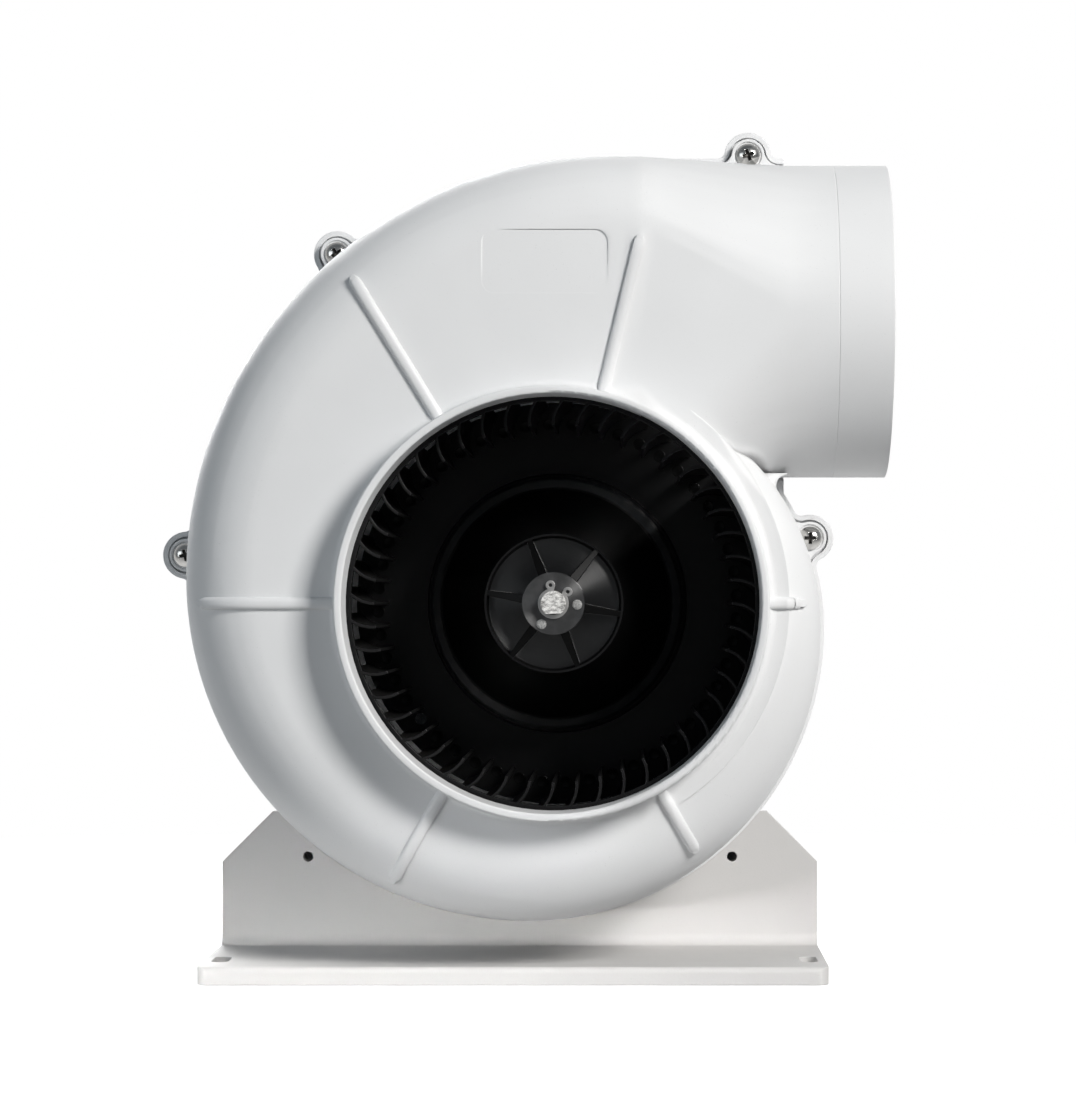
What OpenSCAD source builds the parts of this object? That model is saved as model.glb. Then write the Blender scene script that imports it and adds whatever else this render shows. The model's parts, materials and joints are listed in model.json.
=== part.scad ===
// Flange-mount centrifugal bilge blower: a two-part scroll housing with an open
// inlet collar, a round hose outlet, a squirrel-cage impeller on a direct-current
// motor, and a moulded foot bracket with slotted fixing holes.
//
// X runs to the outlet, Y runs from the inlet to the motor and Z is up. The origin
// lies on the underside of the foot, midway along it, below the parting plane.
// Sub-parts around the fan axis are drawn in the fan frame, which has x to the
// outlet, y up and z towards the inlet.

/* [Impeller] */
// Outer radius of the impeller's front ring
wheel_r = 68.5; // [64:0.5:74]
// Reach of the impeller ahead of the parting plane
wheel_front = 36; // [30:0.5:44]
// Reach of the impeller behind the parting plane
wheel_back = 36.5; // [33:0.5:42]
// Number of blades
blade_count = 48; // [36:1:54]
// Radius of the blades' inner edges
blade_in_r = 56.8; // [55:0.2:59]
// Radius of the blades' outer edges
blade_out_r = 66.6; // [65:0.1:67.5]
// Turn of each blade from its inner to its outer edge, in degrees
blade_turn = 58; // [35:1:75]
// Thickness of a blade
blade_t = 0.9; // [0.7:0.1:1.4]
// Radial width of the front ring
ring_w = 4.2; // [3.9:0.1:5]
// Length of the front ring along the axis
ring_len = 4; // [2.5:0.5:7]
// Wall thickness of the impeller's plate and cone
web_t = 2.2; // [1.6:0.1:3]
// Radius of the hub disc
hub_r = 22.3; // [20:0.1:25]
// Reach of the hub disc's rim ahead of the parting plane
hub_front = 26; // [22:0.5:29]
// Depth of the dish in the hub disc
hub_dish = 2.5; // [2:0.25:6]
// Radius of the boss on the shaft
boss_r = 10; // [8.5:0.25:12]
// Reach of the boss ahead of the hub disc's rim
boss_rise = 7; // [5:0.25:9]
// Length of the boss along the shaft
boss_len = 22; // [16:1:26]
// Number of gussets on the hub disc
gusset_count = 6; // [4:1:8]
// Thickness of a gusset
gusset_t = 1.6; // [1.2:0.05:2.4]

/* [Scroll housing] */
// Gap between the impeller and the scroll wall on the outlet side
scroll_gap = 14.1; // [12:0.1:20]
// Growth of the scroll in each of the first three quarter turns
scroll_growth = 16; // [12:0.5:20]
// Growth of the scroll in the last quarter turn
outlet_growth = 25.4; // [22:0.1:30]
// Gap between the impeller and the front wall
front_gap = 12; // [9:0.1:14]
// Gap between the impeller and the rear wall
rear_gap = 4.7; // [3.5:0.1:8]
// Wall thickness of the housing
wall = 2.8; // [2:0.1:3.6]
// Rounding of the front face's rim
front_round = 24; // [16:0.5:28]
// Rounding of the rear face's rim
rear_round = 14; // [8:0.5:18]
// Clear width of the parting groove
groove_w = 0.7; // [0.4:0.05:1]
// Width of the rear half's lip
lip_w = 1.7; // [1.2:0.1:2.4]
// Rise of the lip ahead of the parting plane
lip_rise = 2.2; // [1.5:0.1:3]
// Depth of the lip behind the parting plane
lip_depth = 4; // [3:0.5:7]
// Fillet in the throat between the scroll and the outlet duct
throat_r = 3.5; // [2:0.25:6]

/* [Inlet] */
// Radius of the inlet bore
inlet_r = 65.3; // [62:0.1:66]
// Wall thickness of the inlet collar
collar_wall = 2.6; // [2:0.1:4]
// Height of the collar ahead of the front face
collar_h = 12; // [8:0.5:20]
// Length of the collar behind the front wall
collar_in = 5; // [5:0.25:6.5]
// Fillet at the foot of the collar
collar_fillet = 2.5; // [1:0.25:5]
// Radius of the flat land round the collar
land_r = 74.5; // [72:0.1:76]
// Width of a rib on the front face
rib_w = 2.2; // [1.4:0.1:3]
// Height of a rib on the front face
rib_h = 1.4; // [0.8:0.1:2]
// Distance between a rib's end and the scroll wall
rib_end_gap = 4.6; // [4:0.1:8]
// Width of the bare label recess
label_w = 39.6; // [30:0.2:46]
// Height of the bare label recess
label_h = 20; // [14:0.2:24]
// Depth of the label recess
label_depth = 0.3; // [0.2:0.05:0.6]

/* [Outlet] */
// Outer radius of the hose outlet
outlet_r = 50.8; // [46:0.1:51.5]
// Distance from the fan axis to the start of the round tube
tube_start = 74.6; // [70:0.2:82]
// Length of the tube that is moulded with the halves
tube_len = 15.7; // [12:0.1:20]
// Length of the hose collar beyond the tube
spigot_len = 17.3; // [12:0.1:30]
// Length of the hose collar's sleeve inside the tube
sleeve_len = 10; // [6:0.5:11]
// Radial clearance between the sleeve and the tube
sleeve_gap = 0.1; // [0.05:0.05:0.3]

/* [Ears and screws] */
// Distance from the scroll wall out to an ear's screw
ear_out = 3.2; // [2.5:0.1:4.5]
// Radius of an ear on the front half
ear_r = 5.3; // [4.9:0.1:6.5]
// Fillet between an ear and the wall
ear_fillet = 5; // [3.5:0.25:8]
// Thickness of an ear on the front half
ear_t = 5; // [3.5:0.25:8]
// Depth of an ear on the rear half
ear_depth = 11; // [9:0.5:16]
// Distance from the outlet end of the duct back to the top ear
top_ear_back = 11.7; // [9:0.1:20]
// Shank radius of the housing and bracket screws
screw_r = 1.9; // [1.5:0.05:2.2]
// Head radius of the housing and bracket screws
head_r = 3.8; // [3.2:0.1:4.4]
// Head height of the screws
head_h = 2.6; // [2:0.1:3.2]
// Radial clearance of a screw in its hole
screw_gap = 0.3; // [0.1:0.05:0.5]
// Radial clearance of a screw in its threaded insert
thread_gap = 0.05; // [0.02:0.01:0.1]
// Wall thickness of a threaded insert
insert_wall = 1; // [0.7:0.1:1.2]
// Length of a housing insert
insert_len = 7; // [5:0.5:8]

/* [Motor] */
// Outer radius of the motor can
motor_r = 28; // [25:0.25:30]
// Length of the motor can
motor_len = 74; // [66:1:100]
// Wall thickness of the motor can
can_t = 1.8; // [1.2:0.1:2.2]
// Radial clearance of the can in its cup
cup_gap = 0.4; // [0.2:0.05:0.8]
// Wall thickness of the motor cup
cup_wall = 2.4; // [1.8:0.1:3]
// Distance from the parting plane back to the cup's front face
cup_back = 9; // [7:0.25:12]
// Thickness of the rubber motor gasket
gasket_t = 1.5; // [1:0.1:2.5]
// Radial room between the motor cup and the impeller's shoulder
cone_gap = 5.5; // [4.5:0.1:7]
// Radius of the motor shaft
shaft_r = 4; // [3.5:0.05:4.5]
// Depth of the flat on the shaft
shaft_flat = 0.7; // [0.4:0.05:1]
// Radial running clearance of the shaft in its bushings
run_gap = 0.04; // [0.02:0.01:0.08]
// Wall thickness of the bushings
bushing_wall = 2.6; // [2:0.1:3]
// Length of the bushings
bushing_len = 8; // [6:0.5:9]
// Distance from the motor axis to each motor screw
motor_screw_x = 17; // [15:0.25:20]
// Radial thickness of the magnets
magnet_t = 4.4; // [3:0.1:5]
// Air gap between the magnets and the armature
air_gap = 0.6; // [0.4:0.05:1]
// Number of armature poles
pole_count = 8; // [6:1:10]
// Width of the slots between the poles
pole_slot_w = 3; // [2.5:0.1:4]
// Radius of the commutator
commutator_r = 10; // [9:0.25:11]
// Length of the commutator
commutator_len = 11; // [9:0.5:13]
// Number of commutator bars
bar_count = 16; // [12:1:24]
// Thickness of the motor's end cap
cap_t = 4; // [3:0.25:6]
// Rise of the bearing boss behind the end cap
cap_boss_h = 6; // [4:0.5:8]
// Depth of the end cap's skirt in the can
cap_skirt = 5; // [3:0.5:8]
// Length of the winding's end turns
winding_len = 7; // [5:0.5:9]
// Room between the end turns and their neighbours
winding_room = 3; // [1.5:0.25:5]
// Radius of the hole in the cable grommet
lead_r = 2.2; // [1.6:0.1:2.8]
// Wall thickness of the cable grommet
grommet_wall = 1.6; // [1.2:0.1:2]

/* [Foot bracket] */
// Width of the foot
base_w = 202; // [180:1:240]
// Thickness of the foot's flange
base_t = 5.7; // [4:0.1:8]
// Reach of the foot ahead of the parting plane
base_front = 31; // [24:0.5:45]
// Reach of the foot behind the upright plate
base_rear = 58; // [45:1:80]
// Thickness of the upright plate
plate_t = 5; // [4:0.25:7]
// Height of the plate's straight sides
plate_side_h = 34; // [26:0.5:40]
// Size of the sloped corners on the plate
plate_chamfer = 17; // [10:0.5:22]
// Fillet in the fold between plate and flange
fold_r = 4; // [2:0.25:6]
// Rounding of the foot's corners, seen from above
corner_r = 4; // [2:0.25:8]
// Rounding of the flange's upper edges
edge_r = 2; // [1:0.25:3]
// Room between the scroll and the foot's flange
scroll_room = 14.6; // [8:0.1:25]
// Offset of the fan axis from the middle of the foot
fan_offset = 13; // [5:0.5:20]
// Width of a fixing slot
slot_w = 5.6; // [4.5:0.1:6.2]
// Length of a fixing slot
slot_len = 18; // [12:0.5:24]
// Distance from the foot's side to a slot's middle
slot_inset = 5.5; // [5:0.1:9]
// Distance from the front edge to the middle of a front slot
slot_front = 26; // [16:0.5:30]
// Distance from the rear edge to the middle of a rear slot
slot_rear = 21; // [16:0.5:26]
// Radius of the blind screw holes in the plate
pilot_r = 1.7; // [1:0.1:2.5]
// Distance from the middle of the foot to each blind hole
pilot_x = 72; // [66:0.5:78]
// Height of the blind holes
pilot_z = 35.6; // [25:0.1:40]
// Length of the bosses behind the blind holes
pilot_boss_len = 9; // [5:0.5:14]
// Half width of the yoke behind the scroll
yoke_half_w = 51; // [50:0.5:56]
// Distance from the fan axis down to the top of the yoke
yoke_drop = 26; // [22:0.5:28]
// Room between the motor cup and the yoke's arch
arch_room = 5.2; // [3:0.1:7]
// Sideways distance of the upper bracket screws
bolt_x_upper = 42; // [41:0.25:44]
// Drop of the upper bracket screws below the fan axis
bolt_y_upper = 38; // [36:0.25:42]
// Sideways distance of the lower bracket screws
bolt_x_lower = 32; // [26:0.25:36]
// Drop of the lower bracket screws below the fan axis
bolt_y_lower = 66; // [62:0.25:68]
// Radius of the pads under the bracket screws
pad_r = 6.5; // [5.5:0.1:7.5]
// Height of the pads under the bracket screws
pad_h = 2; // [1:0.25:3]
// Radius of a bracket washer
washer_r = 5; // [4.8:0.1:5.8]
// Thickness of a bracket washer
washer_t = 0.9; // [0.6:0.1:1.4]
// Thickness of the foot's rear gussets
foot_gusset_t = 4; // [3:0.25:6]
// Height and reach of the foot's rear gussets
foot_gusset = 26; // [18:1:32]
// Distance from the middle of the foot to each rear gusset
foot_gusset_x = 68; // [60:1:85]

/* [Hidden] */
$fn = 64;
loft_fn = 32;
outlet_fn = 128;
tiny = 0.01;
cut = 1;
embed = 0.5;
blend_bite = 0.02;

// Scroll, in the fan frame
front_depth = wheel_front + front_gap + wall;
rear_depth = wheel_back + rear_gap + wall;
scroll_right = wheel_r + scroll_gap + wall;
arc_step = scroll_growth / 2;
arc_r1 = scroll_right - arc_step;
arc_r2 = arc_r1 + scroll_growth;
arc_r3 = arc_r2 + scroll_growth;
arc_r4 = arc_r3 + outlet_growth;
duct_x = outlet_growth - arc_step;
scroll_top = arc_step + arc_r4;
scroll_bottom = arc_step + arc_r2;
// Each quarter turn of the scroll: centre x, centre y, radius, start angle
QUARTERS = [
    [arc_step, -arc_step, arc_r1, 0],
    [-arc_step, -arc_step, arc_r2, 270],
    [-arc_step, arc_step, arc_r3, 180],
    [duct_x, arc_step, arc_r4, 90]
];
fan_z = base_t + scroll_room + scroll_bottom;

// Outlet, in the fan frame
outlet_y = scroll_top - outlet_r;
duct_bottom = outlet_y - outlet_r;
duct_straight = 11;
loft_start = duct_x + duct_straight;
duct_corner = 6;
tube_end = tube_start + tube_len;
spigot_end = tube_end + spigot_len;
sleeve_r = outlet_r - wall - sleeve_gap;
// Middle of the fillet in the throat, which bites a little into the scroll and the duct
throat_y = duct_bottom - throat_r + blend_bite;
throat_reach = arc_r1 + throat_r - blend_bite;
throat_x = arc_step + sqrt(pow(throat_reach, 2) - pow(throat_y + arc_step, 2));

// Inlet, in the fan frame
collar_r = inlet_r + collar_wall;
collar_top = front_depth + collar_h;
collar_edge = 0.8;
land_drop = 0.05;
land_depth = 14;
// Ribs on the front face: angle, the quarter turn whose wall each one runs to, and how
// many end gaps it stops short of that wall
RIBS = [[0, 0, 1], [121.5, 3, 2.2], [180, 2, 1], [240, 2, 0.8], [300, 1, 1]];
duct_rib_angle = 76.5;
duct_rib_top_gap = 27;
label_x = -2.3;
label_drop = 35.5;
label_corner = 4;

// Ears: quarter turn and angle about that quarter's centre
EARS = [[0, 21.3], [3, 129.9], [3, 176.8]];
top_ear_x = tube_start - top_ear_back;
ear_skin = 1;
ear_root = wall - ear_skin;
lip_o = groove_w + lip_w;
insert_r = screw_r + thread_gap + insert_wall;
screw_hole_r = screw_r + screw_gap;
head_room = 0.6;
relief_share = 0.8;
dome_share = 0.45;
recess_w = 4;
recess_depth = 1.5;
relief_r = head_r + head_room;
relief_h = (front_depth - front_round - ear_t) * relief_share;
spot_depth = 0.4;
tip_room = 0.5;
screw_len = ear_t - spot_depth + insert_len - tip_room;

// Cable clip on the rear half: angle about the third quarter's centre
clip_angle = 187.3;
clip_w = 4.4;
clip_depth = 9;
clip_rise = 4.5;
clip_hole_r = 1.5;
clip_middle = 20;
peg_r = 1.5;
peg_len = 1.6;
peg_gap = 0.1;

// Motor, in the fan frame: positions run towards the rear as negative z
cup_r = motor_r + cup_gap + cup_wall;
cup_web = 2.5;
can_z = -(cup_back + cup_web + gasket_t);
can_end = can_z - motor_len;
can_in_r = motor_r - can_t;
bushing_r = shaft_r + run_gap + bushing_wall;
bearing_wall = 2;
nose_r = bushing_r + bearing_wall;
nose_gap = 0.6;
nose_lip = 0.4;
shaft_room = 0.6;
end_play = 0.3;
nose_len = bushing_len + nose_lip - can_t + shaft_room;
bushing_front_z = can_z + nose_len - nose_lip;
cap_end = can_end - cap_t;
boss_end = cap_end - cap_boss_h;
boss_floor = 1;
bushing_rear_z = boss_end + boss_floor;
armature_r = can_in_r - magnet_t - air_gap;
slot_floor = armature_r / 2;
core_front = can_z - can_t - winding_len - winding_room;
commutator_z = can_end + cap_skirt;
core_back = commutator_z + commutator_len + winding_len + winding_room;
brush_z = commutator_z + commutator_len / 2;
spacer_wall = 2.2;
shaft_end = bushing_rear_z + end_play;
cap_screw_inset = 7.2;
cap_screw_x = can_in_r - cap_screw_inset;
cap_screw_grip = 6;
cap_screw_r = 1.4;
cap_head_r = 2.7;
cap_head_h = 1.8;
cap_recess_w = 3;
cap_recess_depth = 1;
skirt_t = 2.4;
skirt_gap = 0.1;
grommet_y = -17;
grommet_r = lead_r + grommet_wall;
motor_thread = 2;
brush_w = 5;
brush_gap = 0.2;
brush_angles = [45, 225];

// Impeller, in the fan frame
shoulder_r = cup_r + cone_gap + web_t;
shoulder_z = -17;
shoulder_w = 3.5;
shoulder_drop = 4;
shoulder_flat_w = 2.5;
shoulder_flat_drop = 2;
shoulder_foot = 5;
plate_in_r = shoulder_r + shoulder_foot;
plate_rim = 1;
hub_lip = 0.7;
boss_face = hub_front + boss_rise;
boss_back = boss_face - boss_len;
clip_t = 0.9;
clip_room = 0.05;
groove_depth = 0.45;
groove_z = boss_face + clip_room;
tip_rise = 3.4;
shaft_tip = boss_face + tip_rise;

// Foot bracket, in the part's own frame
plate_y = rear_depth + pad_h;
plate_back = plate_y + plate_t;
base_back = plate_back + base_rear;
plate_top = plate_side_h + plate_chamfer;
arch_r = cup_r + arch_room;
yoke_corner = 8;
slot_x = base_w / 2 - slot_inset;
slot_front_y = slot_front - base_front;
slot_rear_y = base_back - slot_rear;
pilot_wall = 2;
pilot_floor = 1.5;
insert_floor = 0.6;
bolt_insert_len = wall + pad_h - insert_floor;
bolt_len = washer_t + plate_t + bolt_insert_len - tip_room;
BOLTS = [
    [-bolt_x_upper, -bolt_y_upper], [bolt_x_upper, -bolt_y_upper],
    [-bolt_x_lower, -bolt_y_lower], [bolt_x_lower, -bolt_y_lower]
];

// Radius of a blade's arc that runs from the inner to the outer blade radius
turn_a = 2 - 2 * cos(blade_turn);
turn_b = 2 * blade_in_r * sin(blade_turn);
turn_c = blade_in_r * blade_in_r - blade_out_r * blade_out_r;
blade_arc_r = (sqrt(turn_b * turn_b - 4 * turn_a * turn_c) - turn_b) / (2 * turn_a);

module fan_frame() {
    translate([fan_offset, 0, fan_z])
        rotate([90, 0, 0])
            children();
}

// Lays an outline drawn in y and z out along x
module along_x(length) {
    rotate([90, 0, 90])
        linear_extrude(length)
            children();
}

// Tube about z between two heights
module tube(outer, inner, z0, z1) {
    translate([0, 0, z0])
        difference() {
            cylinder(r = outer, h = z1 - z0);
            translate([0, 0, -cut])
                cylinder(r = inner, h = z1 - z0 + 2 * cut);
        }
}

// Section of one housing half from its axis out to its wall, with a rounded rim
module half_section(reach, depth, rounding) {
    square([reach, depth - rounding]);
    square([reach - rounding, depth]);
    translate([reach - rounding, depth - rounding])
        circle(r = rounding);
}

// Scroll and duct of one half, drawn above z = 0, with its walls moved in by inset
module scroll_half(inset, depth, rounding, drop = 0) {
    for (q = QUARTERS)
        translate([q[0], q[1], -drop])
            rotate([0, 0, q[3]])
                rotate_extrude(angle = 90)
                    half_section(q[2] - inset, depth - inset + drop, rounding - inset);
    translate([duct_x, 0, -drop])
        along_x(duct_straight + drop)
            half_section(scroll_top - inset, depth - inset + drop, rounding - inset);
}

// Duct that changes from the scroll's section to the round tube
module duct_loft(inset) {
    front_r = front_round - inset;
    rear_r = rear_round - inset;
    low_r = duct_corner - inset;
    top = scroll_top - inset;
    low = duct_bottom + inset;
    front = front_depth - inset;
    rear = rear_depth - inset;
    hull() {
        for (c = [[top - front_r, front - front_r, front_r], [top - rear_r, rear_r - rear, rear_r],
                  [low + low_r, front - low_r, low_r], [low + low_r, low_r - rear, low_r]])
            translate([loft_start - embed, c[0], c[1]])
                rotate([0, 90, 0])
                    cylinder(r = c[2], h = tiny, $fn = loft_fn);
        outlet_bar(outlet_r - inset, tube_start - tiny, tube_start);
    }
}

// Round bar about the outlet's axis, on the ring of points that the loft ends in
module outlet_bar(radius, x0, x1) {
    step = 360 / outlet_fn;
    translate([x0, outlet_y, 0])
        rotate([0, 90, 0])
            linear_extrude(x1 - x0)
                polygon([for (i = [1 : outlet_fn]) radius * [cos(i * step), sin(i * step)]]);
}

// Space in front of the parting plane, on the outlet's side of the housing
module front_space() {
    translate([0, duct_bottom - cut, 0])
        cube([spigot_end, scroll_top + cut, outlet_r + cut]);
}

// Walls of one half, drawn above z = 0, with the duct and other forms as children
module half_shell(depth, rounding) {
    difference() {
        union() {
            scroll_half(0, depth, rounding);
            linear_extrude(depth - rounding)
                throat_outline();
            children();
        }
        scroll_half(wall, depth, rounding, cut);
    }
}

module duct_outside() {
    duct_loft(0);
    outlet_bar(outlet_r, tube_start, tube_end);
}

module duct_inside() {
    duct_loft(wall);
    outlet_bar(outlet_r - wall, tube_start, tube_end + cut);
}

// Fillet that fills the outer corner between the scroll and the duct
module throat_outline() {
    share = (arc_r1 - wall / 2) / throat_reach;
    wall_x = arc_step + (throat_x - arc_step) * share;
    wall_y = -arc_step + (throat_y + arc_step) * share;
    difference() {
        polygon([
            [throat_x, throat_y],
            [throat_x, duct_bottom + embed],
            [wall_x - throat_r, duct_bottom + embed],
            [wall_x, wall_y]
        ]);
        translate([throat_x, throat_y])
            circle(r = throat_r);
    }
}

// Outline of the scroll and duct at the parting plane, moved out by o
module outline(o, duct_end) {
    for (q = QUARTERS)
        translate([q[0], q[1]])
            intersection() {
                circle(r = q[2] + o);
                rotate(q[3])
                    square(q[2] + o + cut);
            }
    translate([duct_x, duct_bottom - o])
        square([duct_end - duct_x, 2 * outlet_r + 2 * o]);
}

// Places a child with its wall on the y axis, towards +x, at each ear on the scroll
module at_ear(e) {
    translate([QUARTERS[e[0]][0], QUARTERS[e[0]][1], 0])
        rotate([0, 0, e[1]])
            translate([QUARTERS[e[0]][2], 0, 0])
                children();
}

module at_top_ear() {
    translate([top_ear_x, scroll_top, 0])
        rotate([0, 0, 90])
            children();
}

module at_ears() {
    for (e = EARS)
        at_ear(e)
            children();
    at_top_ear()
        children();
}

// Outlines of all four ears on their walls, moved out by o
module ears(o) {
    for (e = EARS)
        at_ear(e)
            ear_outline(o, QUARTERS[e[0]][2]);
    at_top_ear()
        ear_outline(o, 0);
}

// Round ear that flows through two fillets into a wall of radius wall_r, or a straight
// wall at 0, moved out by o. The fillets bite a little into both.
module ear_outline(o, wall_r) {
    r = ear_r + o;
    f = ear_fillet - o;
    reach = wall_r + o + f - blend_bite;
    span = wall_r + ear_out;
    turn = wall_r > 0 ? acos((reach * reach + span * span - (r + f) * (r + f)) / (2 * reach * span)) : 0;
    side = wall_r > 0 ? reach * sin(turn) : sqrt((r + f) * (r + f) - (reach - ear_out) * (reach - ear_out));
    rise = reach * cos(turn) - wall_r;
    root = wall_r - ear_root;
    root_x = root * cos(turn) - wall_r;
    root_y = wall_r > 0 ? root * sin(turn) : side;
    translate([ear_out, 0])
        circle(r = r + blend_bite);
    difference() {
        polygon([[root_x, -root_y], [rise, -side], [ear_out, 0], [rise, side], [root_x, root_y]]);
        for (s = [-1, 1])
            translate([rise, s * side])
                circle(r = f);
    }
}

module rounded_box(w, h, r) {
    for (x = [-1, 1], y = [-1, 1])
        translate([x * (w / 2 - r), y * (h / 2 - r)])
            circle(r = r);
    square([w - 2 * r, h], center = true);
    square([w, h - 2 * r], center = true);
}

// Pan-head screw whose head seats at z = 0 with its shank towards -z
module pan_screw(length, radius, head_radius, head_height) {
    dome = head_height * dome_share;
    rotate_extrude()
        half_section(head_radius, head_height, dome);
    translate([0, 0, -length])
        cylinder(r = radius, h = length + tiny);
}

module cross_recess(size, depth) {
    arm_w = size / 4;
    for (a = [0, 90])
        rotate([0, 0, a])
            translate([-size / 2, -arm_w / 2, -depth])
                cube([size, arm_w, depth + cut]);
}

module screw(length) {
    difference() {
        pan_screw(length, screw_r, head_r, head_h);
        translate([0, 0, head_h])
            cross_recess(recess_w, recess_depth);
    }
}

// Distance from the fan axis, along an angle, to a line inset from a quarter turn's wall
function wall_reach(a, q, inset) =
    let (along = q[0] * cos(a) + q[1] * sin(a),
         across = q[0] * q[0] + q[1] * q[1] - along * along,
         r = q[2] - inset)
    along + sqrt(r * r - across);

module front_ribs() {
    intersection() {
        scroll_half(-rib_h, front_depth, front_round);
        union() {
            for (rib = RIBS)
                rotate([0, 0, rib[0]])
                    rib_bar(wall_reach(rib[0], QUARTERS[rib[1]], rib[2] * rib_end_gap));
            rotate([0, 0, duct_rib_angle])
                rib_bar((scroll_top - duct_rib_top_gap) / sin(duct_rib_angle));
        }
    }
}

module rib_bar(reach) {
    start = collar_r - embed;
    translate([0, 0, front_depth - front_round])
        linear_extrude(front_round + rib_h + cut) {
            translate([start, -rib_w / 2])
                square([reach - start - rib_w / 2, rib_w]);
            translate([reach - rib_w / 2, 0])
                circle(r = rib_w / 2);
        }
}

// Inlet collar with softened lips and a fillet onto the front face
module inlet_collar() {
    foot = front_depth - wall - collar_in;
    rotate_extrude() {
        translate([inlet_r, foot])
            square([collar_wall, collar_top - collar_edge - foot]);
        translate([inlet_r + collar_edge, foot])
            square([collar_wall - 2 * collar_edge, collar_top - foot]);
        for (x = [inlet_r + collar_edge, collar_r - collar_edge])
            translate([x, collar_top - collar_edge])
                circle(r = collar_edge);
        translate([collar_r - tiny, front_depth - wall / 2])
            difference() {
                square([collar_fillet, collar_fillet + wall / 2]);
                translate([collar_fillet, collar_fillet + wall / 2])
                    circle(r = collar_fillet);
            }
    }
}

module front_housing() {
    color("whitesmoke")
        fan_frame()
            difference() {
                union() {
                    half_shell(front_depth, front_round) {
                        intersection() {
                            duct_outside();
                            front_space();
                        }
                        front_ribs();
                        translate([0, 0, front_depth - land_drop - land_depth])
                            cylinder(r = land_r, h = land_depth);
                        linear_extrude(ear_t)
                            ears(0);
                    }
                    inlet_collar();
                }
                duct_inside();
                cylinder(r = inlet_r, h = collar_top + cut);
                at_ears()
                    translate([ear_out, 0, 0]) {
                        translate([0, 0, -cut])
                            cylinder(r = screw_hole_r, h = ear_t + 2 * cut);
                        translate([0, 0, ear_t - spot_depth])
                            cylinder(r = relief_r, h = relief_h);
                    }
                translate([label_x, scroll_top - label_drop, front_depth - label_depth])
                    linear_extrude(label_depth + cut)
                        rounded_box(label_w, label_h, label_corner);
            }
}

// Outline of the scroll, the duct and all the ears, moved out by o
module parting_outline(o, duct_end) {
    outline(o, duct_end);
    ears(o);
}

// Lip that stands round the parting plane, with the nested ears
module parting_lip() {
    translate([0, 0, -lip_depth])
        linear_extrude(lip_depth)
            difference() {
                outline(lip_o, tube_start);
                outline(-wall / 2, tube_end);
            }
    linear_extrude(lip_rise)
        difference() {
            parting_outline(lip_o, tube_start);
            parting_outline(groove_w, tube_end);
        }
    translate([0, 0, -ear_depth])
        linear_extrude(ear_depth)
            ears(lip_o);
}

// Places a child on the wall where the cable clip sits, with the wall at x = 0
module at_clip() {
    q = QUARTERS[2];
    translate([q[0], q[1], -clip_middle])
        rotate([0, 0, clip_angle])
            translate([q[2], 0, 0])
                children();
}

module rear_housing() {
    color("whitesmoke")
        fan_frame()
            difference() {
                union() {
                    mirror([0, 0, 1])
                        half_shell(rear_depth, rear_round) {
                            intersection() {
                                mirror([0, 0, 1])
                                    duct_outside();
                                front_space();
                            }
                            mirror([0, 0, 1])
                                parting_lip();
                        }
                    translate([0, 0, -rear_depth])
                        cylinder(r = cup_r, h = rear_depth - cup_back);
                    for (b = BOLTS)
                        translate([b[0], b[1], -rear_depth - pad_h])
                            cylinder(r = pad_r, h = pad_h + wall / 2);
                }
                duct_inside();
                translate([0, 0, -rear_depth - cut])
                    cylinder(r = motor_r + cup_gap, h = rear_depth - cup_back - cup_web + cut);
                translate([0, 0, -rear_depth])
                    cylinder(r = nose_r + nose_gap, h = rear_depth);
                for (s = [-1, 1])
                    translate([s * motor_screw_x, 0, -cup_back - cup_web - cut])
                        cylinder(r = screw_hole_r, h = cup_web + 2 * cut);
                at_ears()
                    translate([ear_out, 0, -insert_len])
                        cylinder(r = insert_r, h = insert_len + cut);
                for (b = BOLTS)
                    translate([b[0], b[1], -rear_depth - pad_h - cut])
                        cylinder(r = insert_r, h = bolt_insert_len + cut);
                at_clip()
                    rotate([0, -90, 0])
                        translate([0, 0, -cut])
                            cylinder(r = peg_r + peg_gap, h = peg_len + peg_gap + cut);
            }
}

// Saddle that holds the motor's lead against the side of the rear half
module cable_clip() {
    color("black")
        fan_frame()
            at_clip()
                difference() {
                    union() {
                        translate([tiny, -clip_w / 2, -clip_depth / 2])
                            cube([clip_rise - clip_w / 2, clip_w, clip_depth]);
                        translate([clip_rise - clip_w / 2, 0, -clip_depth / 2])
                            cylinder(r = clip_w / 2, h = clip_depth);
                        rotate([0, -90, 0])
                            translate([0, 0, -embed])
                                cylinder(r = peg_r, h = peg_len + embed);
                    }
                    translate([clip_rise - clip_w / 2, 0, -clip_depth / 2 - cut])
                        cylinder(r = clip_hole_r, h = clip_depth + 2 * cut);
                }
}

// Full ring for the hose, with a sleeve that plugs into the two half tubes
module outlet_collar() {
    color("whitesmoke")
        fan_frame()
            translate([0, outlet_y, 0])
                rotate([0, 90, 0])
                    difference() {
                        union() {
                            translate([0, 0, tube_end])
                                cylinder(r = outlet_r, h = spigot_len);
                            translate([0, 0, tube_end - sleeve_len])
                                cylinder(r = sleeve_r, h = sleeve_len + tiny);
                        }
                        translate([0, 0, tube_end - sleeve_len - cut])
                            cylinder(r = sleeve_r - wall, h = spigot_len + sleeve_len + 2 * cut);
                    }
}

module housing_screws() {
    color("silver")
        fan_frame()
            at_ears()
                translate([ear_out, 0, ear_t - spot_depth])
                    screw(screw_len);
}

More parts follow.
